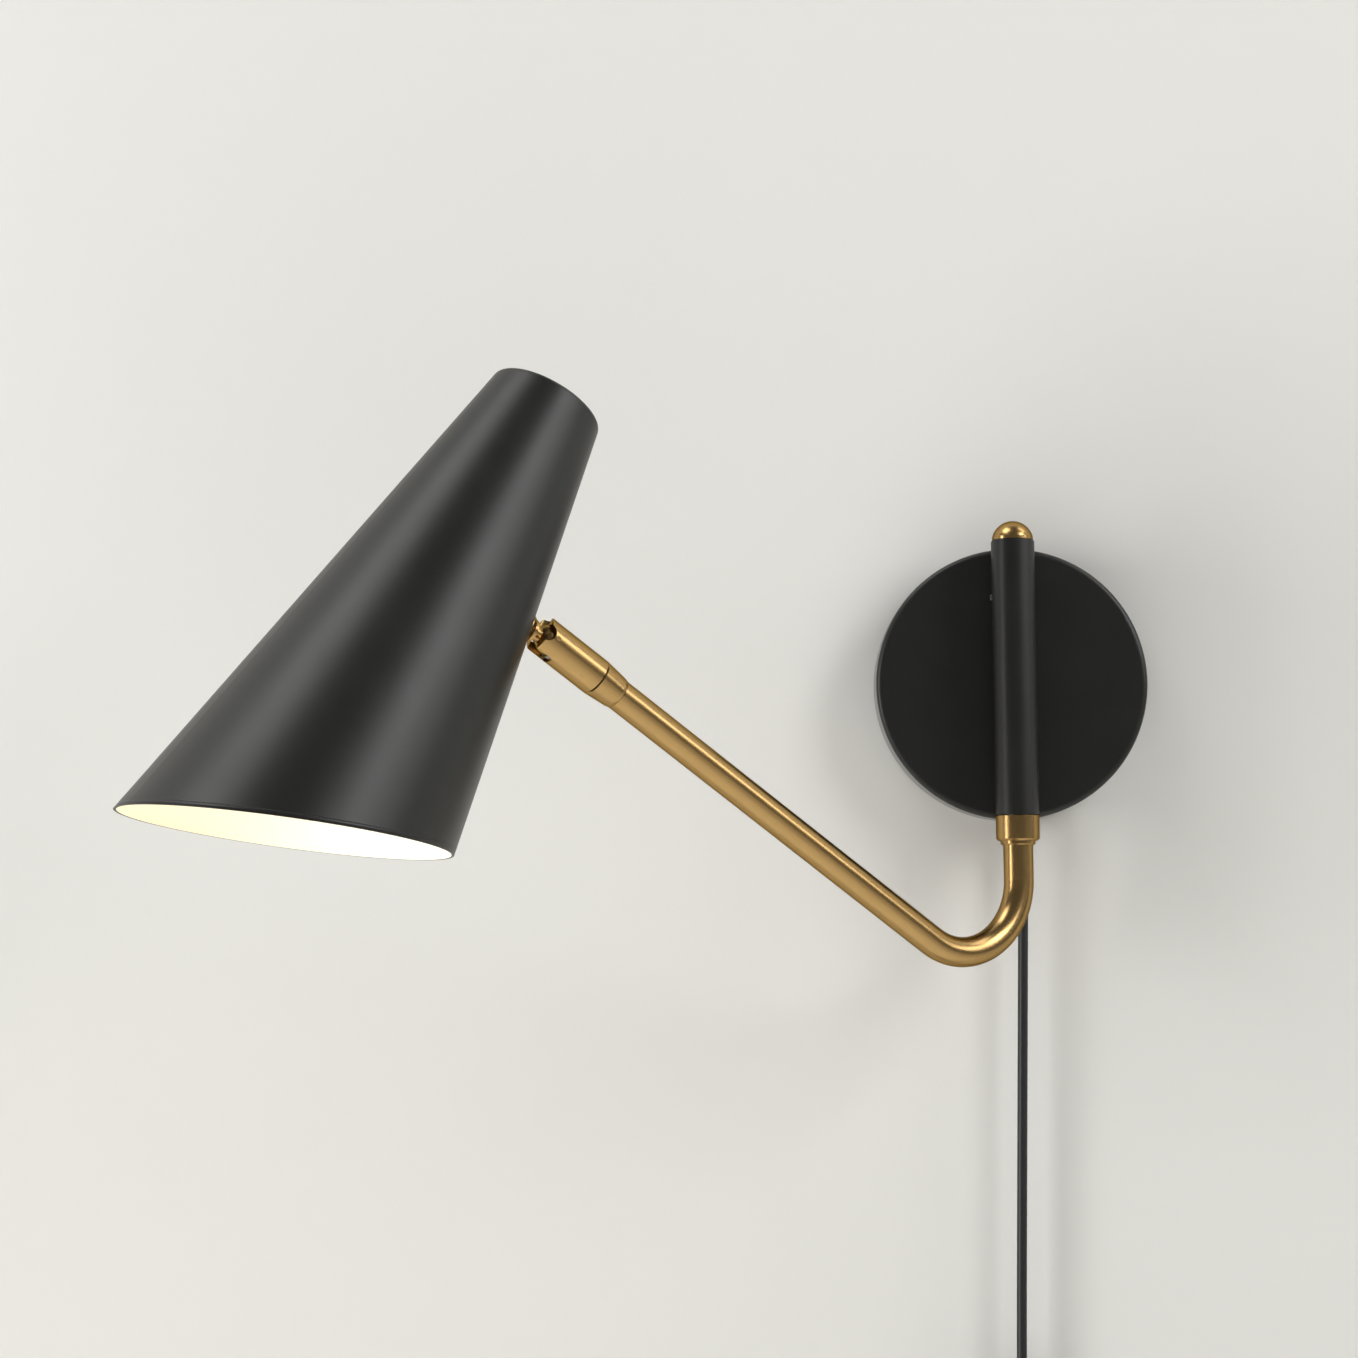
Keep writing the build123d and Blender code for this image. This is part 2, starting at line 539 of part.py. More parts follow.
def ring_collar():
    ring = spin_z([(0, RING_TOP), (SLEEVE_R - 0.3, RING_TOP), (SLEEVE_R, RING_TOP - 0.3),
                   (SLEEVE_R, RING_BOTTOM + 0.9), (SLEEVE_R - 0.9, RING_BOTTOM),
                   (SHOULDER_R, RING_BOTTOM), (SHOULDER_R, RING_BOTTOM - SHOULDER_H + 0.5),
                   (SHOULDER_R - 0.5, RING_BOTTOM - SHOULDER_H), (0, RING_BOTTOM - SHOULDER_H)])
    return ARM * (ring - rod("z", SOCKET_Z, 0, SPINDLE_R) - rod("z", -90, SOCKET_Z, ARM_R))


def dome_cap():
    cap_h = DOME_H - 1.2
    ball_r = (DOME_R**2 + cap_h**2) / (2 * cap_h)
    dome = rod("z", DOME_BASE + 1.2, DOME_BASE + DOME_H, DOME_R)
    dome &= Location((0, 0, DOME_BASE + DOME_H - ball_r)) * Sphere(ball_r)
    dome += rod("z", DOME_BASE, DOME_BASE + 1.2, DOME_R)
    dome -= rod("z", DOME_BASE - 1, DOME_BASE + 1.0, 7.6)
    return ARM * (dome - rod("z", DOME_BASE - 1, DOME_BASE + 5.5, SPINDLE_R))


def stop_collar():
    """Ring fixed on the spindle. Its part groove is as long as the arm's swing."""
    ring = pipe("z", STOP_Z - 4, STOP_Z + 4, STOP_R, SPINDLE_R)
    swing = SWING_RANGE[1] - SWING_RANGE[0]
    slack = 2 * math.degrees(math.asin((STOP_TIP_R + 0.25) / GROOVE_FLOOR_R))
    screw_low = 180 - (180 + SWING) - SWING_RANGE[1]
    groove = spin_z([(GROOVE_FLOOR_R, STOP_Z - GROOVE_HALF), (8, STOP_Z - GROOVE_HALF),
                     (8, STOP_Z + GROOVE_HALF), (GROOVE_FLOOR_R, STOP_Z + GROOVE_HALF)],
                    arc=swing + slack, start=screw_low - slack / 2)
    return ARM * (ring - groove)


def arm_path():
    top = Line((0, 0, SOCKET_Z), (0, 0, BEND_START_Z))
    middle = Vector(BEND_R * (1 - math.cos(TURN / 2)), 0, BEND_START_Z - BEND_R * math.sin(TURN / 2))
    bend = ThreePointArc((0, 0, BEND_START_Z), middle, BEND_END)
    return Wire([top, bend, Line(BEND_END, BEND_END + ALONG * STRAIGHT)])


def arm_tube():
    start = Plane((0, 0, SOCKET_Z), z_dir=(0, 0, -1))
    return ARM * sweep(start * (Circle(ARM_R) - Circle(ARM_BORE_R)), path=arm_path())


def arm_wires():
    """A pair of wires from the spindle's window to the knuckle."""
    pair = []
    for side in (-1, 1):
        y = 1.1 * side
        middle = Vector(BEND_R * (1 - math.cos(TURN / 2)), y, BEND_START_Z - BEND_R * math.sin(TURN / 2))
        end = BEND_END + Vector(0, y, 0)
        bend_start = (0, y, BEND_START_Z)
        path = Wire([Line((0, y, -2), bend_start), ThreePointArc(bend_start, middle, end),
                     Line(end, end + ALONG * (PIVOT - 17))])
        pair.append(ARM * sweep(Plane((0, y, -2), z_dir=(0, 0, -1)) * Circle(WIRE_R), path=path))
    return pair


wave = pipe("z", DOME_BASE + 0.05, DOME_BASE + 0.95, 7.3, SPINDLE_R + 0.2)
keep("spindle", spindle())
keep("ring_collar", ring_collar())
keep("dome_cap", dome_cap())
keep("wave_washer", ARM * wave)
keep("stop_collar", stop_collar())
keep("arm_tube", arm_tube())
keep("arm_wires", ShapeList([s for w in arm_wires() for s in w.solids()]))

# ---- knuckle: rolls on the arm's end ------------------------------------------------
SEAM_X = KNUCKLE_SEAM - PIVOT
TUBE_END_X = STRAIGHT - PIVOT
COLLAR_END_X = SEAM_X - SEAM
BUSH_X = -18.0
FLANGE_X = (-17.2, -15.9)


def knuckle_collar():
    groove_x = TUBE_END_X + 0.3
    body = spin_x([(TUBE_END_X - 8, 0), (TUBE_END_X - 8, ARM_BORE_R), (TUBE_END_X, ARM_BORE_R),
                   (TUBE_END_X, ARM_R - 0.4), (groove_x, ARM_R - 0.4),
                   (groove_x, ARM_R + 0.2), (TUBE_END_X + 1.4, ARM_R + 0.5),
                   (COLLAR_END_X - 0.4, HOUSING_R), (COLLAR_END_X, HOUSING_R - 0.3), (COLLAR_END_X, 0)])
    return KNUCKLE * (body - rod("x", -60, 0, SWIVEL_BORE_R) - rod("x", TUBE_END_X + 5, 0, SWIVEL_R))


def swivel_spindle():
    body = rod("x", TUBE_END_X + 5, FLANGE_X[1], SWIVEL_R) + rod("x", *FLANGE_X, 4.9)
    return KNUCKLE * (body - rod("x", -50, 0, SWIVEL_BORE_R))


def knuckle_housing():
    body = rod("x", SEAM_X, HOUSING_END, HOUSING_R)
    rims = body.edges().filter_by(GeomType.CIRCLE).sort_by(Axis.X)
    body = fillet(rims[-1], 0.7)
    body = chamfer(body.edges().filter_by(GeomType.CIRCLE).sort_by(Axis.X)[0], 0.25)
    body -= rod("x", SEAM_X - 1, 0, HOUSING_BORE_R) + Sphere(HOUSING_BORE_R)
    body -= rod("x", 0, HOUSING_END + 1, MOUTH_R)
    half = NOTCH_W / 2
    notch_x = HOUSING_END - NOTCH_DEPTH + half
    for axis, low in (("y", -20), ("y", 0), ("z", 0)):
        body -= rod(axis, low, low + 20, half, (notch_x, 0))
    slot = block((HOUSING_END - SLOT_DEPTH, HOUSING_END + 2), (-half, half), (-20, 0))
    slot = fillet(slot.edges().filter_by(Axis.Z).sort_by(Axis.X)[:2], 1.2)
    body -= slot
    return KNUCKLE * (body - rod("y", -10, 10, PIN_HINGE_R))


def friction_springs():
    """Conical spring washers, stacked in opposite pairs."""
    discs = []
    step, rise, thick, x = 0.95, 0.35, 0.5, BUSH_X + 0.05
    for i in range(4):
        a, b = (0, rise) if i % 2 else (rise, 0)
        section = [(x + a, 5.2), (x + b, 6.3), (x + b + thick, 6.3), (x + a + thick, 5.2)]
        discs.append(KNUCKLE * spin_x(section))
        x += step
    return discs


cup = spin_x([(-13.9, 3.6), (-13.9, 6.4), (-2.6, 6.4), (-2.6, 3.6)]) - Sphere(BALL_R + 0.2)
keep("knuckle_collar", knuckle_collar())
keep("swivel_spindle", swivel_spindle())
keep("knuckle_housing", knuckle_housing())
keep("knuckle_bush", KNUCKLE * pipe("x", SEAM_X, BUSH_X, HOUSING_BORE_R, SWIVEL_R + 0.06))
keep("roll_washer", KNUCKLE * pipe("x", BUSH_X, BUSH_X + 0.7, 4.9, SWIVEL_R + 0.2))
keep("friction_springs", ShapeList([s for d in friction_springs() for s in d.solids()]))
keep("friction_cup", KNUCKLE * cup)
pins = [KNUCKLE * rod("y", *span, PIN_HINGE_R) for span in ((-7.9, -3.9), (3.9, 7.9))]
keep("pivot_pins", ShapeList([s for p in pins for s in p.solids()]))

# ---- shade and lamp holder ----------------------------------------------------------
BOSS_X = SHADE_GAP - 4.0
SADDLE_END = SHADE_GAP + SHADE_WALL + 2.4
BRACKET_T = 1.5
STEM_END = SADDLE_END + BRACKET_T + 5.5


def swivel_ball():
    body = Sphere(BALL_R) + rod("x", 0, BOSS_X - 1.4, NECK_R) + rod("x", BOSS_X - 1.6, BOSS_X, 4.9)
    body += rod("x", BOSS_X, STEM_END, STEM_R)
    body -= rod("x", -10, STEM_END + 1, WIRE_BORE_R)
    body -= spin_x([(-7, 0), (-7, 4.4), (-3.4, WIRE_BORE_R - 0.2), (-3.4, 0)])
    for span in ((-8, -3.6), (3.6, 8)):
        body -= rod("y", *span, PIN_HINGE_R + 0.05)
    return NECK * body


def cone(shrink, low=-170.0, high=None):
    """The solid inside the shade's outline, or inside a skin set in by shrink."""
    top = SHADE_TOP_Z if high is None else high
    face = make_face(Polyline((0, 0, low), (cone_x(low, shrink), 0, low), (cone_x(top, shrink), 0, top),
                              (0, 0, top), close=True))
    return Location((SHADE_X, 0, 0)) * revolve(face, Axis.Z)


def shade():
    outer = cone(0)
    outer = fillet(outer.edges().filter_by(GeomType.CIRCLE).sort_by(Axis.Z)[-1], 2.0)
    skin = SHADE_WALL / math.cos(SLOPE)
    inner = cone(skin, high=SHADE_TOP_Z - SHADE_WALL)
    inner = fillet(inner.edges().filter_by(GeomType.CIRCLE).sort_by(Axis.Z)[-1], 0.9)
    shell = outer - inner
    below = Location((SHADE_X, 0, MOUTH_Z), (0, MOUTH_SLANT, 0)) * Box(
        400, 400, 200, align=(Align.CENTER, Align.CENTER, Align.MAX))
    shell -= below
    for i in range(8):
        angle = math.radians(22.5 + 45 * i)
        shell -= rod("z", SHADE_TOP_Z - 3, SHADE_TOP_Z + 1, 2.0,
                     (SHADE_X + 13 * math.cos(angle), 13 * math.sin(angle)))
    return KNUCKLE * shell - NECK * rod("x", 0, 25, STEM_R + 0.1)


def shade_boss():
    body = spin_x([(BOSS_X, 0), (BOSS_X, 5.4), (BOSS_X + 0.5, 5.9), (BOSS_X + 2.6, 7.4),
                   (SHADE_GAP + 3, 7.4), (SHADE_GAP + 3, 0)])
    return NECK * (body - rod("x", 0, 30, STEM_R)) - KNUCKLE * cone(0)


def inner_saddle():
    skin = SHADE_WALL / math.cos(SLOPE)
    body = NECK * (rod("x", SHADE_GAP, SADDLE_END, 8.0) - rod("x", 0, 30, STEM_R))
    return body & (KNUCKLE * cone(skin))


def holder_bracket():
    foot = block((SADDLE_END, SADDLE_END + BRACKET_T), (-9, 9), (-11, 41.3))
    shelf = block((24.0, SHADE_X + 10), (-9, 9), (HOLDER_Z, HOLDER_Z + BRACKET_T))
    bracket = NECK * foot + KNUCKLE * shelf
    bracket -= NECK * rod("x", 0, 30, STEM_R + 0.1)
    bracket -= KNUCKLE * rod("z", HOLDER_Z - 5, HOLDER_Z + 5, 4.5, (33, 0))
    return bracket - KNUCKLE * rod("z", HOLDER_Z - 5, HOLDER_Z + 5, NIPPLE_R + 0.1, (SHADE_X, 0))


def at_shade(shape):
    return KNUCKLE * (Location((SHADE_X, 0, 0)) * shape)


HOLDER_TOP = HOLDER_Z - 0.2
HOLDER_MOUTH = HOLDER_Z - 52
SHELL_TOP = HOLDER_TOP - 14
CAP_R = 6.8
BULB_CAP_TOP = SHELL_TOP - 5
BULB_NECK = BULB_CAP_TOP - 24
BULB_MIDDLE = BULB_NECK - 36
GLASS_T = 0.9

keep("swivel_ball", swivel_ball())
keep("shade_boss", shade_boss())
keep("shade", shade())
keep("inner_saddle", inner_saddle())
keep("holder_bracket", holder_bracket())
keep("stem_nut", NECK * (hexagon("x", SADDLE_END + BRACKET_T, SADDLE_END + BRACKET_T + 4, 12)
                         - rod("x", 0, 40, STEM_R)))
keep("holder_nipple", at_shade(pipe("z", HOLDER_TOP - 8, HOLDER_Z + BRACKET_T + 5, NIPPLE_R, 3.6)))
keep("holder_nut", at_shade(hexagon("z", HOLDER_Z + BRACKET_T, HOLDER_Z + BRACKET_T + 3, 14)
                            - rod("z", 0, 60, NIPPLE_R)))


def holder_cap():
    """Domed top of the lamp holder, threaded on the hollow nipple."""
    body = spin_z([(0, HOLDER_TOP), (7.5, HOLDER_TOP), (11, HOLDER_TOP - 3), (12.6, HOLDER_TOP - 8),
                   (12.6, SHELL_TOP + 1), (11.2, SHELL_TOP + 1), (11.2, HOLDER_TOP - 9),
                   (0, HOLDER_TOP - 9)])
    return body - rod("z", 0, 60, NIPPLE_R)


def holder_body():
    """Lower part of the lamp holder, with the cup that the lamp screws into."""
    body = spin_z([(11.0, SHELL_TOP + 4), (11.0, SHELL_TOP + 1), (12.6, SHELL_TOP + 1),
                   (HOLDER_R, SHELL_TOP - 1),
                   (HOLDER_R, HOLDER_MOUTH + 1), (HOLDER_R - 1, HOLDER_MOUTH), (8.6, HOLDER_MOUTH),
                   (8.6, SHELL_TOP - 2), (0, SHELL_TOP - 2), (0, SHELL_TOP + 1), (9.0, SHELL_TOP + 1),
                   (9.0, SHELL_TOP + 4)])
    for dx in (-3, 3):
        body -= rod("z", SHELL_TOP - 3, SHELL_TOP + 2, 1.1, (dx * 1.8, 0))
    return body


def lamp_glass():
    """Globe blown to a narrow neck, hollow and closed by the cap."""
    neck_r = 6.3
    low = BULB_MIDDLE + math.sqrt((BULB_R) ** 2 - 12.0**2)

    def outline(inset):
        ball = Location((0, 0, BULB_MIDDLE)) * Sphere(BULB_R - inset)
        throat = spin_z([(0, low - 4), (12.6 - inset, low - 4), (12.0 - inset, low),
                         (8.4 - inset, low + 7), (neck_r - inset, BULB_NECK), (0, BULB_NECK)])
        return ball + throat
    return outline(0) - (outline(GLASS_T) - rod("z", BULB_NECK - GLASS_T, BULB_NECK + 5, 20))


keep("holder_cap", at_shade(holder_cap()))
keep("holder_body", at_shade(holder_body()))
keep("screw_shell", at_shade(pipe("z", HOLDER_MOUTH + 8, SHELL_TOP - 2.2, 8.4, 7.6)))
keep("lamp_glass", at_shade(lamp_glass()))
cap = pipe("z", BULB_NECK, BULB_CAP_TOP - 3, CAP_R, 6.3)
for i in range(5):
    groove_z = BULB_NECK + 5 + 2.8 * i
    cap -= pipe("z", groove_z, groove_z + 1.0, 9.0, CAP_R - 0.35)
contact = spin_z([(0, BULB_CAP_TOP), (2.2, BULB_CAP_TOP - 0.6), (3.0, BULB_CAP_TOP - 1.4),
                  (CAP_R - 0.5, BULB_CAP_TOP - 3), (0, BULB_CAP_TOP - 3)])
keep("lamp_cap", at_shade(cap + contact))


def shade_wires():
    """Wires from the neck's bore up to the lamp holder."""
    routes = []
    for side in (-1, 1):
        y = 1.1 * side
        routes.append([(-2.2, y, 0.35), (STEM_END + 2, y, -4.6), (STEM_END + 8, y * 2, 4.0),
                       (31 + side, y * 2, 34.0), (38, y * 2, 50.0 + side), (SHADE_X - 1, y, 50.0),
                       (SHADE_X - 0.2, y, 40.0), (SHADE_X, y, SHELL_TOP + 8)])
    return [KNUCKLE * tube for tube in wires(routes)]


keep("shade_wires", ShapeList([s for w in shade_wires() for s in w.solids()]))

pivot_world = (KNUCKLE * Location((0, 0, 0))).position
tilt_axis = (KNUCKLE * Location((0, 1, 0))).position - pivot_world
roll_axis = (KNUCKLE * Location((1, 0, 0))).position - pivot_world
print("pivot", pivot_world, "tilt axis", tilt_axis, "roll axis", roll_axis)
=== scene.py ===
import json
import math

import bpy
from mathutils import Euler, Matrix, Vector


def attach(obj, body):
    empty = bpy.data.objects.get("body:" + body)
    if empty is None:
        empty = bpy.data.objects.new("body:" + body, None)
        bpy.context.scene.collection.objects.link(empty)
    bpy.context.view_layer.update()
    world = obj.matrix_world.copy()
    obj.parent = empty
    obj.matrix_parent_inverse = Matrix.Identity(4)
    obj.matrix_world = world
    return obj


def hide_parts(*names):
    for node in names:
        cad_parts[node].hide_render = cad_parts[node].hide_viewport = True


bl_info = {
    "name": "Swing Arm Sconce",
    "version": (1, 0, 0),
    "blender": (4, 5, 0),
    "location": "View3D > Sidebar > Sconce",
    "description": "Finishes, cord, shade and studio for a swing arm wall lamp",
    "category": "Add Mesh",
}

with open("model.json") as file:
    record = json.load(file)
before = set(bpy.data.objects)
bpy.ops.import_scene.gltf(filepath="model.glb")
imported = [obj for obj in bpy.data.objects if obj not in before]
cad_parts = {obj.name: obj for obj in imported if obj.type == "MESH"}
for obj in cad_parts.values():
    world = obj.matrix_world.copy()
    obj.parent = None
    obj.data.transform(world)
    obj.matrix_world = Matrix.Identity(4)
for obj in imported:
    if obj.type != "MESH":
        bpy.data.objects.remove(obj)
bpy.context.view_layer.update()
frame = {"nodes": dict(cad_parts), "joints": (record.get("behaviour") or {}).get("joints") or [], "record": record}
NODES = frame["nodes"]
JOINTS = {joint["name"]: joint for joint in frame["joints"]}

# Metres throughout. X runs along the wall, Y into the wall, Z up.
MM = 0.001
PIVOT = Vector(JOINTS["shade_tilt"]["pos_m"])
ARM_WAY = Vector(JOINTS["knuckle_roll"]["axis"]).normalized()      # out along the arm
TILT_WAY = Vector(JOINTS["shade_tilt"]["axis"]).normalized()
SHADE_WAY = ARM_WAY.cross(TILT_WAY).normalized()                   # up the shade's own axis
KNUCKLE = Matrix.Translation(PIVOT) @ Matrix((ARM_WAY, TILT_WAY, SHADE_WAY)).transposed().to_4x4()
SWING_AXIS = Vector(JOINTS["arm_swing"]["pos_m"])

# The shade's cone, in the knuckle's frame: X along the arm, Z up the shade's own axis.
SHADE_GAP = 14.0 * MM          # from the tilting joint to the shade's back
SHADE_ATTACH = 84.5 * MM       # from the shade's top edge down its back to the joint's neck
SHADE_LENGTH = 208.5 * MM
SHADE_TOP_RADIUS = 23.7 * MM
SHADE_WALL = 1.0 * MM
SHADE_FLARE = math.radians(10)
MOUTH_SLANT = math.radians(24)
SHADE_AXIS = (SHADE_GAP * math.cos(SHADE_FLARE) + SHADE_ATTACH * math.sin(SHADE_FLARE)
              + SHADE_TOP_RADIUS)
SHADE_TOP = SHADE_ATTACH * math.cos(SHADE_FLARE) - SHADE_GAP * math.sin(SHADE_FLARE)
MOUTH = SHADE_TOP - SHADE_LENGTH
LIP = 0.05 * MM                # black paint round the mouth's edge
HEM = 1.6 * MM                 # the mouth's edge is rolled over a little
HEM_FADE = 0.5 * MM
MASK_EDGE = 0.05 * MM          # half the width over which black paint gives way to white
PAINTED_GLOW_DEPTH = 95 * MM           # the painted glow inside the shade, in place of the lamp's light, evens out this far up
# the painted glow near the mouth turns from white to cream across these offsets from the shade's axis
PAINTED_GLOW_SIDES = (-60 * MM, 40 * MM)

LAMP_NECK = (-40 * MM, -8 * MM)    # the opal glass deepens in colour between these heights

PLATE_RADIUS = 60 * MM
PLATE_RIM = (PLATE_RADIUS - 0.6 * MM, PLATE_RADIUS - 0.1 * MM)

# The mains cord: straight down through its switch, eight turns, and down to the plug.
CORD = 4.5 * MM
RELIEF_TIP = Vector((4.3, -11, -84)) * MM
SWITCH_TOP = Vector((-0.6, -11, -305)) * MM
SWITCH_FOOT = Vector((-0.6, -11, -361)) * MM
SWITCH_TAIL = 5 * MM           # the cord stays straight this far below the switch
PLUG_COLLAR = Vector((-0.6, -13.26, -428)) * MM
COIL = Vector((-33.8, -11, -402)) * MM
COIL_WAY_IN, COIL_WAY_OUT = 12 * MM, 13 * MM
TURNS = 8
TURN_RADIUS = 27 * MM
BUNDLE_RADIUS = 6.62 * MM      # the turns lie on a ring round the bundle's middle
STEP_ROUND = 40                # each turn lies this far on round the bundle, degrees
POINTS_A_TURN = 16

# Brass pieces that are turned on a lathe about an upright axis. The rest is drawn tube and rod.
TURNED = ("dome_cap", "ring_collar", "plug_pins")

# Powder coat.
PEBBLE = 0.9 * MM              # grain of its skin
PEBBLE_DEPTH = 0.12 * MM
DRIFT = 22 * MM                # size of the slow changes in its gloss and colour
DUST_GRAIN = 2.1 * MM
DUST = (0.3, 0.3, 0.28)

# The studio. Azimuth is from the camera's side of the lamp, positive to the right.
LAMP_MIDDLE = Vector((-0.12, -0.08, -0.02))
SOFTBOXES = {                  # azimuth and height in degrees, distance, size, watts
    "left_high_softbox": (-64, 61, 2.2, (1.1, 1.0), 15),
    "left_softbox": (-62, 0, 2.2, (0.7, 1.2), 28),
    "right_softbox": (56, 28, 2.2, (0.7, 1.1), 17),
    "right_strip": (76, 18, 2.2, (0.35, 0.9), 5),
    "low_softbox": (-32, -60, 2.4, (2.6, 1.3), 76),
    "right_high_softbox": (92, 52, 2.2, (1.0, 1.0), 9),
}
SHEET = 12                     # the wall and the floor are squares of this side
WALL_PLACE = (0, 0.6 * MM, 2.0)
FLOOR_PLACE = (0, -SHEET / 2, -1.6)
FLOOR_LIGHT = 0.45
ROOM_COLOUR = (0.9, 0.9, 0.88)
ROOM_LIGHT = 0.14


# ---- materials ----------------------------------------------------------------------
class Value:
    """An output socket of a node. Arithmetic on it adds Math nodes."""

    def __init__(self, finish, socket):
        self.finish = finish
        self.socket = socket

    def maths(self, operation, first, second=0.0):
        return self.finish.node("ShaderNodeMath", {"operation": operation}, {0: first, 1: second})

    def __add__(self, other):
        return self.maths("ADD", self, other)

    def __sub__(self, other):
        return self.maths("SUBTRACT", self, other)

    def __mul__(self, other):
        return self.maths("MULTIPLY", self, other)

    def __pow__(self, other):
        return self.maths("POWER", self, other)

    def __rsub__(self, other):
        return self.maths("SUBTRACT", other, self)

    __radd__ = __add__
    __rmul__ = __mul__


class Finish:
    """One material. Uniform values are set on its shader, and varying ones are linked by feed()."""

    def __init__(self, name, **uniform):
        self.material = bpy.data.materials.new(name)
        self.material.use_nodes = True
        self.tree = self.material.node_tree
        self.shader = self.tree.nodes["Principled BSDF"]
        for socket, value in uniform.items():
            self.shader.inputs[socket.replace("_", " ")].default_value = value

    def node(self, kind, settings=None, inputs=None, output=0):
        """Adds a node: its settings first, then the values or links of its sockets."""
        made = self.tree.nodes.new(kind)
        for name, value in (settings or {}).items():
            setattr(made, name, value)
        for socket, value in (inputs or {}).items():
            if isinstance(value, Value):
                self.tree.links.new(value.socket, made.inputs[socket])
            else:
                made.inputs[socket].default_value = value
        return Value(self, made.outputs[output])

    def place(self, turn=None):
        """Object coordinates, in metres, or turned into the frame of a matrix."""
        at = self.node("ShaderNodeTexCoord", output="Object")
        if turn is None:
            return at
        loose = turn.inverted()
        return self.node("ShaderNodeMapping", {"vector_type": "POINT"},
                         {0: at, 1: loose.translation, 2: loose.to_euler()})

    def axes(self, at):
        """The three coordinates of a place."""
        return [self.node("ShaderNodeSeparateXYZ", {}, {0: at}, output=axis) for axis in "XYZ"]

    def stretched(self, at, scale):
        """A place scaled along each axis. A pattern there is longer along an axis scaled down."""
        return self.node("ShaderNodeVectorMath", {"operation": "MULTIPLY"}, {0: at, 1: scale})

    def noise(self, at, grain, detail=2.0, rough=0.5):
        """Noise from 0 to 1. grain is the size of its features in metres."""
        return self.node("ShaderNodeTexNoise", {"noise_dimensions": "3D"},
                         {"Vector": at, "Scale": 1 / grain, "Detail": detail, "Roughness": rough})

    def range(self, value, low, high, to_low=0.0, to_high=1.0):
        """A smooth step as a value goes from low to high."""
        return self.node("ShaderNodeMapRange", {"interpolation_type": "SMOOTHSTEP"},
                         {0: value, 1: low, 2: high, 3: to_low, 4: to_high})

    def colour(self, factor, first, second):
        """Mixes two colours."""
        settings = {"data_type": "RGBA", "blend_type": "MIX", "clamp_factor": True}
        return self.node("ShaderNodeMix", settings, {0: factor, 6: first, 7: second}, output=2)

    def tones(self, mask, colour, dark, light):
        """A colour that drifts between a darker and a lighter tone of itself."""
        return self.colour(mask, rgba(colour, dark), rgba(colour, light))

    def rough(self, mean, *spreads):
        """A roughness that drifts about its mean by each mask and its spread."""
        level = mean - sum(spread for mask, spread in spreads) / 2
        for mask, spread in spreads:
            level = mask * spread + level
        return level

    def bump(self, height, strength, depth):
        return self.node("ShaderNodeBump", {},
                         {"Height": height, "Strength": strength, "Distance": depth})

    def feed(self, **sockets):
        """Links what changes over the surface, and gives back the finished material."""
        for socket, value in sockets.items():
            self.tree.links.new(value.socket, self.shader.inputs[socket.replace("_", " ")])
        return self.material


def rgba(colour, tone=1.0):
    """A colour, lighter or darker by a tone, as a shader's socket takes it."""
    return (*[min(1.0, part * tone) for part in colour], 1.0)


def powder(coat, at):
    """The skin and the slow drift that every powder coat has, each from 0 to 1."""
    return coat.noise(at, PEBBLE, 3.0, 0.6), coat.noise(at, DRIFT, 3.0)


def enamel(name, colour, rough):
    """Satin powder coat: fine pebbled skin, faint cloudiness and a few specks of dust."""
    coat = Finish(name, IOR=1.46)
    at = coat.place()
    pebble, cloud = powder(coat, at)
    dust = coat.range(coat.noise(at, DUST_GRAIN, 1.0), 0.74, 0.80)
    body = coat.colour(dust * 0.06, coat.tones(cloud, colour, 0.8, 1.25), rgba(DUST))
    return coat.feed(Base_Color=body, Roughness=coat.rough(rough, (cloud, 0.06), (pebble, 0.03)),
                     Normal=coat.bump(pebble, 0.10, PEBBLE_DEPTH))


def plate_enamel(colour, rough):
    """The wall plate's powder coat, polished smoother on its rim by handling."""
    coat = Finish("plate_black", IOR=1.46)
    at = coat.place()
    pebble, cloud = powder(coat, at)
    x, _, z = coat.axes(at)
    rim = coat.range((x * x + z * z) ** 0.5, *PLATE_RIM)
    return coat.feed(Base_Color=coat.tones(cloud, colour, 0.8, 1.25),
                     Roughness=coat.rough(rough, (cloud, 0.06)) - rim * 0.28,
                     Normal=coat.bump(pebble, 0.10, PEBBLE_DEPTH))


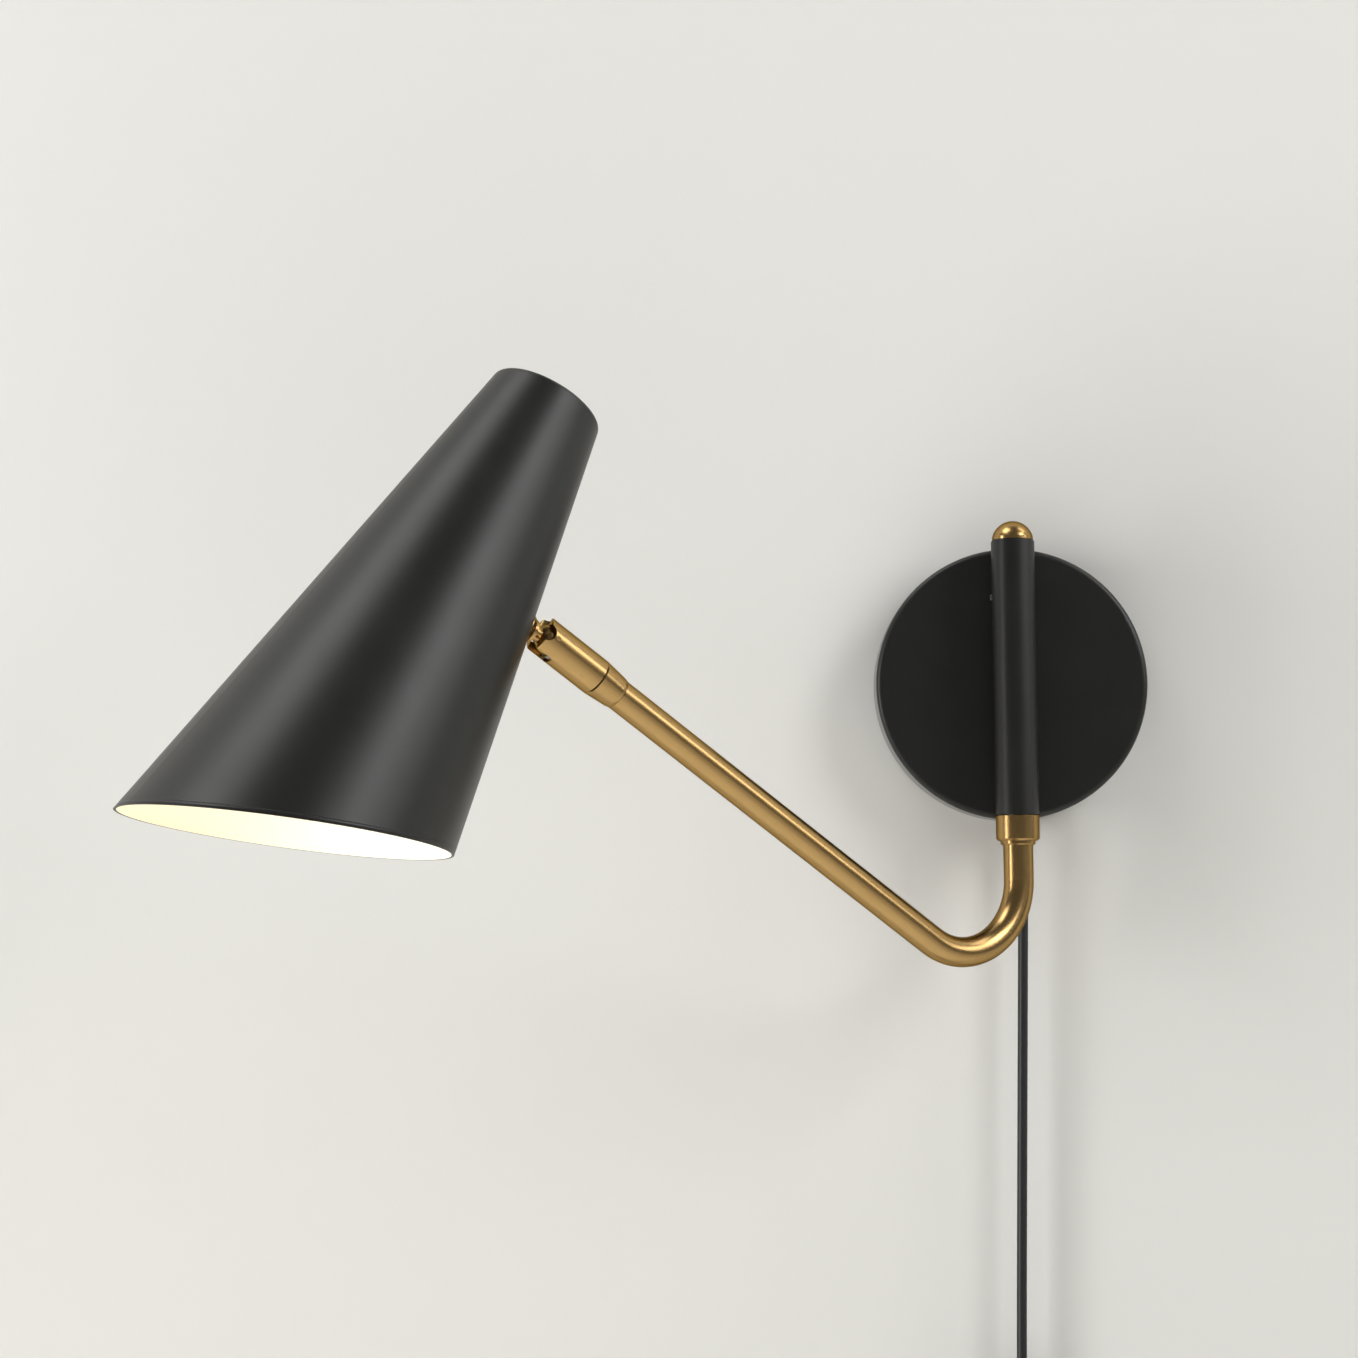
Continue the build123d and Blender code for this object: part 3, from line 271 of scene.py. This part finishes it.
def shade_coat(colour, rough):
    """The shade: satin black outside and round its lip, and warm white inside, with a painted glow there in place
    of the lamp's light.
    """
    # the inside emits light: a painted glow standing in for the light of the lamp on the white enamel
    coat = Finish("shade_coat", IOR=1.46, Emission_Strength=0.62)
    pebble, cloud = powder(coat, coat.place())
    x, y, z = coat.axes(coat.place(KNUCKLE))
    aside = x - SHADE_AXIS
    off_axis = (aside * aside + y * y) ** 0.5
    below_top = SHADE_TOP - z
    mid_wall = below_top * math.tan(SHADE_FLARE) + (SHADE_TOP_RADIUS - SHADE_WALL / 2)
    above_mouth = aside * math.sin(MOUTH_SLANT) + (z - MOUTH) * math.cos(MOUTH_SLANT)
    inside = (coat.range(mid_wall - off_axis, -MASK_EDGE, MASK_EDGE)
              * coat.range(above_mouth, LIP - MASK_EDGE, LIP + MASK_EDGE)
              * coat.range(below_top, SHADE_WALL / 2 - MASK_EDGE, SHADE_WALL / 2 + MASK_EDGE))
    white = coat.colour(cloud, rgba((0.62, 0.59, 0.50)), rgba((0.66, 0.63, 0.55)))
    # painted glow: creamier towards one side of the mouth, whiter higher up inside, as the lamp's light would fall
    # there
    painted_glow_near_mouth = coat.colour(coat.range(aside, *PAINTED_GLOW_SIDES), rgba((1.0, 0.98, 0.86)),
                             rgba((0.97, 0.82, 0.46)))
    glow = coat.colour(coat.range(above_mouth, 0, PAINTED_GLOW_DEPTH), painted_glow_near_mouth, rgba((1.0, 0.97, 0.86)))
    unlit = rgba((0, 0, 0))
    hem = coat.range(above_mouth, HEM, HEM + HEM_FADE, 1, 0) * coat.range(above_mouth, 0, HEM * 0.7)
    return coat.feed(Base_Color=coat.colour(inside, coat.tones(cloud, colour, 0.8, 1.25), white),
                     Emission_Color=coat.colour(inside, unlit, glow),
                     Roughness=coat.rough(rough, (cloud, 0.06), (pebble, 0.03)) + inside * 0.2,
                     Normal=coat.bump(pebble * 0.012 + hem * 0.35, 1.0, 1.0 * MM))


def brass(name, colour, rough, turn, streak, relief):
    """Satin lacquered brass. streak stretches its fine brushing along the piece's own axis."""
    metal = Finish(name, Metallic=1.0, Specular_Tint=rgba((0.30, 0.28, 0.24)))
    at = metal.place(turn)
    brushing = metal.noise(metal.stretched(at, streak), 0.5 * MM, 3.0, 0.55)
    cloud = metal.noise(at, 16 * MM, 3.0)
    freckle = metal.range(metal.noise(at, 1.3 * MM, 2.0), 0.78, 0.86)
    body = metal.colour(freckle * 0.25, metal.tones(cloud, colour, 0.93, 1.05), rgba(colour, 0.45))
    return metal.feed(Base_Color=body,
                      Roughness=metal.rough(rough, (brushing, 0.06), (cloud, 0.04)),
                      Normal=metal.bump(brushing, relief, 0.02 * MM))


def plated(name, colour, rough):
    """Zinc or nickel plate over steel, with a soft cloudy spangle."""
    metal = Finish(name, Metallic=1.0)
    at = metal.place()
    spangle = metal.noise(at, 4 * MM, 3.0, 0.6)
    scuff = metal.noise(metal.stretched(at, (1, 1, 9)), 1.2 * MM, 3.0)
    return metal.feed(Base_Color=metal.tones(spangle, colour, 0.82, 1.12),
                      Roughness=metal.rough(rough, (spangle, 0.16), (scuff, 0.08)),
                      Normal=metal.bump(scuff, 0.08, 0.05 * MM))


def moulded(name, colour, rough, grain=0.5 * MM, strength=0.25):
    """Moulded plastic or rubber with a fine eroded grain."""
    body = Finish(name, IOR=1.48)
    at = body.place()
    pit = body.noise(at, grain, 2.0, 0.6)
    cloud = body.noise(at, 15 * MM, 2.0)
    return body.feed(Base_Color=body.tones(cloud, colour, 0.85, 1.15),
                     Roughness=body.rough(rough, (cloud, 0.08), (pit, 0.06)),
                     Normal=body.bump(pit, strength, 0.06 * MM))


def opal_lamp():
    """Lit opal glass: brightest at its middle, a little deeper in colour at the neck."""
    glass = Finish("opal_glass_lit", Roughness=0.25, Emission_Strength=1.2)
    at = glass.place(KNUCKLE)
    _, _, up = glass.axes(at)
    glow = glass.colour(glass.range(up, *LAMP_NECK), rgba((1.0, 0.86, 0.62)),
                        rgba((0.95, 0.62, 0.3)))
    frost = glass.colour(glass.noise(at, 6 * MM, 2.0), rgba((0.86, 0.84, 0.78)),
                         rgba((0.93, 0.91, 0.86)))
    return glass.feed(Emission_Color=glow, Base_Color=frost)


def plaster(name, colour, lit=0.0):
    """Pale painted plaster, lit by the room around it. Seen from behind, the sheet isn't there."""
    paint = Finish(name, Roughness=0.9, Specular_IOR_Level=0.15, Emission_Strength=lit,
                   Emission_Color=rgba(colour))
    cloud = paint.noise(paint.place(), 0.35, 4.0, 0.55)
    paint.feed(Base_Color=paint.tones(cloud, colour, 0.975, 1.02))
    behind = paint.node("ShaderNodeNewGeometry", output="Backfacing")
    solid = Value(paint, paint.shader.outputs["BSDF"])
    clear = paint.node("ShaderNodeBsdfTransparent")
    both = paint.node("ShaderNodeMixShader", {}, {0: behind, 1: solid, 2: clear})
    paint.tree.links.new(both.socket, paint.tree.nodes["Material Output"].inputs["Surface"])
    return paint.material


# ---- settings -----------------------------------------------------------------------
class StageSettings(bpy.types.PropertyGroup):
    camera_place: bpy.props.FloatVectorProperty(
        name="Camera", description="Where the camera stands", subtype="XYZ", unit="LENGTH",
        default=(-0.1470, -1.6068, -0.1035))
    camera_pitch: bpy.props.FloatProperty(
        name="Pitch", description="How far the camera looks up", subtype="ANGLE", default=0.0677)
    camera_roll: bpy.props.FloatProperty(
        name="Roll", description="The camera's turn about its own line of sight", subtype="ANGLE",
        default=-0.0123)
    lens: bpy.props.FloatProperty(
        name="Lens", description="Focal length in millimetres, on a 36 mm sensor", default=95.43)
    wall_colour: bpy.props.FloatVectorProperty(
        name="Wall", description="Colour of the wall and floor", subtype="COLOR", size=3,
        default=(0.84, 0.83, 0.795))


class FinishSettings(bpy.types.PropertyGroup):
    black: bpy.props.FloatVectorProperty(
        name="Black", description="Powder coat colour", subtype="COLOR", size=3,
        default=(0.010, 0.010, 0.009))
    brass: bpy.props.FloatVectorProperty(
        name="Brass", description="Brass colour", subtype="COLOR", size=3,
        default=(0.46, 0.295, 0.118))


# ---- operators ----------------------------------------------------------------------
class SCONCE_OT_finishes(bpy.types.Operator):
    """Gives every carried-over part its material"""

    bl_idname = "sconce.finishes"
    bl_label = "Finishes"

    def execute(self, context):
        look = context.scene.sconce_finish
        black, gold = tuple(look.black), tuple(look.brass)
        upright = Matrix.Translation(SWING_AXIS)
        by_slot = {
            "brass": brass("drawn_brass", gold, 0.26, KNUCKLE, streak=(0.04, 1, 1), relief=0.006),
            "black_enamel": enamel("satin_black", black, 0.42),
            "shade_enamel": shade_coat(black, 0.40),
            "zinc_steel": plated("zinc_plate", (0.58, 0.59, 0.60), 0.38),
            "bright_steel": plated("ground_steel", (0.5, 0.5, 0.51), 0.28),
            "white_nylon": moulded("white_nylon", (0.78, 0.77, 0.72), 0.5),
            "black_plastic": moulded("black_moulding", (0.016, 0.016, 0.016), 0.42),
            "black_pvc": moulded("black_flex", (0.013, 0.013, 0.014), 0.45, 0.8 * MM, 0.12),
            "wire_insulation": moulded("wire_sleeve", (0.62, 0.6, 0.55), 0.35, 0.8 * MM, 0.1),
            "lamp_metal": plated("nickel_plate", (0.68, 0.66, 0.6), 0.3),
            "opal_glass": opal_lamp(),
        }
        turned = brass("turned_brass", gold, 0.26, upright, streak=(0.2, 0.2, 1), relief=0.0015)
        own = {
            **dict.fromkeys(TURNED, turned),
            "canopy": plate_enamel(black, 0.42),
            "stop_screw": plated("blackened_steel", (0.10, 0.10, 0.10), 0.42),
        }
        for part in frame["record"]["subparts"]:
            finish = own.get(part["node"], by_slot[part["material_slot"]])
            NODES[part["node"]].material_slots[0].material = finish
        return {"FINISHED"}


# ---- the mains cord -----------------------------------------------------------------
def coil_points():
    """Control points of the put-away turns, clockwise from the front, in at the right and out below."""
    ease = 1 / math.cos(math.pi / POINTS_A_TURN)
    for i in range(-1, TURNS * POINTS_A_TURN):
        turn = (i + 0.5) / POINTS_A_TURN
        lie = math.radians(STEP_ROUND * (0.5 + max(0, turn)))
        out = (TURN_RADIUS + BUNDLE_RADIUS * math.cos(lie)) * ease
        way = -2 * math.pi * turn
        yield COIL + Vector((out * math.cos(way), BUNDLE_RADIUS * math.sin(lie), out * math.sin(way)))


class SCONCE_OT_cord(bpy.types.Operator):
    """Hangs the mains cord with its put-away turns"""

    bl_idname = "sconce.cord"
    bl_label = "Mains cord"

    def execute(self, context):
        turns = list(coil_points())
        up = Vector((0, 0, 1))
        points = [RELIEF_TIP, RELIEF_TIP.lerp(SWITCH_TOP, 0.5), SWITCH_TOP, SWITCH_FOOT,
                  SWITCH_FOOT - up * SWITCH_TAIL, turns[0] + up * COIL_WAY_IN, *turns,
                  turns[-1] - up * COIL_WAY_OUT, PLUG_COLLAR]
        line = bpy.data.curves.new("mains_flex", "CURVE")
        line.dimensions = "3D"
        line.bevel_depth = CORD / 2
        line.bevel_resolution = 5
        line.use_fill_caps = True
        line.resolution_u = 5
        spline = line.splines.new("NURBS")
        spline.points.add(len(points) - 1)
        for point, place in zip(spline.points, points):
            point.co = (*place, 1)
        spline.order_u = 3
        spline.use_endpoint_u = True
        flex = bpy.data.objects.new("mains_flex", line)
        context.scene.collection.objects.link(flex)
        flex.data.materials.append(NODES["mains_cord"].material_slots[0].material)
        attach(flex, "wall_mount")
        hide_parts("mains_cord", "coil_leads", "cord_coil")
        return {"FINISHED"}


# ---- the studio ---------------------------------------------------------------------
def softbox(name, azimuth, height, distance, size, power):
    """An area light that faces the lamp."""
    data = bpy.data.lights.new(name, "AREA")
    data.shape = "RECTANGLE"
    data.size, data.size_y = size
    data.energy = power
    light = bpy.data.objects.new(name, data)
    turn, rise = math.radians(azimuth), math.radians(height)
    way = Vector((math.sin(turn) * math.cos(rise), -math.cos(turn) * math.cos(rise), math.sin(rise)))
    light.location = LAMP_MIDDLE + way * distance
    light.rotation_euler = way.to_track_quat("Z", "Y").to_euler()
    bpy.context.scene.collection.objects.link(light)


def sheet(name, place, turn, paint):
    """A large flat sheet behind or under the lamp."""
    bpy.ops.mesh.primitive_plane_add(size=SHEET, location=place, rotation=turn)
    made = bpy.context.active_object
    made.name = name
    made.data.materials.append(paint)
    return made


def room_light(scene, seen_colour):
    """Dim even light from all round. The camera itself sees the wall's colour there."""
    world = bpy.data.worlds.new("studio")
    world.use_nodes = True
    scene.world = world
    nodes, links = world.node_tree.nodes, world.node_tree.links
    room = nodes["Background"]
    room.inputs["Color"].default_value = rgba(ROOM_COLOUR)
    room.inputs["Strength"].default_value = ROOM_LIGHT
    seen = nodes.new("ShaderNodeBackground")
    seen.inputs["Color"].default_value = rgba(seen_colour)
    both = nodes.new("ShaderNodeMixShader")
    links.new(nodes.new("ShaderNodeLightPath").outputs["Is Camera Ray"], both.inputs[0])
    links.new(room.outputs[0], both.inputs[1])
    links.new(seen.outputs[0], both.inputs[2])
    links.new(both.outputs[0], nodes["World Output"].inputs["Surface"])


class SCONCE_OT_stage(bpy.types.Operator):
    """Adds the camera, the wall, the floor and the studio lights"""

    bl_idname = "sconce.stage"
    bl_label = "Stage"

    def execute(self, context):
        stage = context.scene.sconce_stage
        lens = bpy.data.cameras.new("camera")
        lens.sensor_width = 36
        lens.lens = stage.lens
        lens.clip_start, lens.clip_end = 0.05, 60
        camera = bpy.data.objects.new("camera", lens)
        turn = Euler((math.pi / 2 + stage.camera_pitch, 0, 0)).to_matrix() @ Matrix.Rotation(
            stage.camera_roll, 3, "Z")
        camera.matrix_world = Matrix.Translation(stage.camera_place) @ turn.to_4x4()
        context.scene.collection.objects.link(camera)
        context.scene.camera = camera

        bpy.ops.object.select_all(action="DESELECT")
        pale = tuple(stage.wall_colour)
        wall = sheet("studio_wall", WALL_PLACE, (math.pi / 2, 0, 0), plaster("wall_paint", pale))
        floor = sheet("studio_floor", FLOOR_PLACE, (0, 0, 0),
                      plaster("floor_paint", pale, FLOOR_LIGHT))

        for name, facts in SOFTBOXES.items():
            softbox(name, *facts)
        room_light(context.scene, pale)
        return {"FINISHED"}


class SCONCE_PT_panel(bpy.types.Panel):
    """Lists the lamp's operators"""

    bl_idname = "SCONCE_PT_panel"
    bl_label = "Sconce"
    bl_space_type = "VIEW_3D"
    bl_region_type = "UI"
    bl_category = "Sconce"

    def draw(self, context):
        for operator in OPERATORS:
            self.layout.operator(operator.bl_idname)


SETTINGS = {"sconce_stage": StageSettings, "sconce_finish": FinishSettings}
OPERATORS = (SCONCE_OT_stage, SCONCE_OT_finishes, SCONCE_OT_cord)
CLASSES = (*SETTINGS.values(), *OPERATORS, SCONCE_PT_panel)


def register():
    for cls in CLASSES:
        bpy.utils.register_class(cls)
    for name, cls in SETTINGS.items():
        setattr(bpy.types.Scene, name, bpy.props.PointerProperty(type=cls))


def unregister():
    for name in SETTINGS:
        delattr(bpy.types.Scene, name)
    for cls in reversed(CLASSES):
        bpy.utils.unregister_class(cls)


def main():
    register()
    bpy.context.scene.view_settings.view_transform = "Standard"
    for operator in OPERATORS:
        group, name = operator.bl_idname.split(".")
        getattr(getattr(bpy.ops, group), name)()


if __name__ == "__main__":
    main()
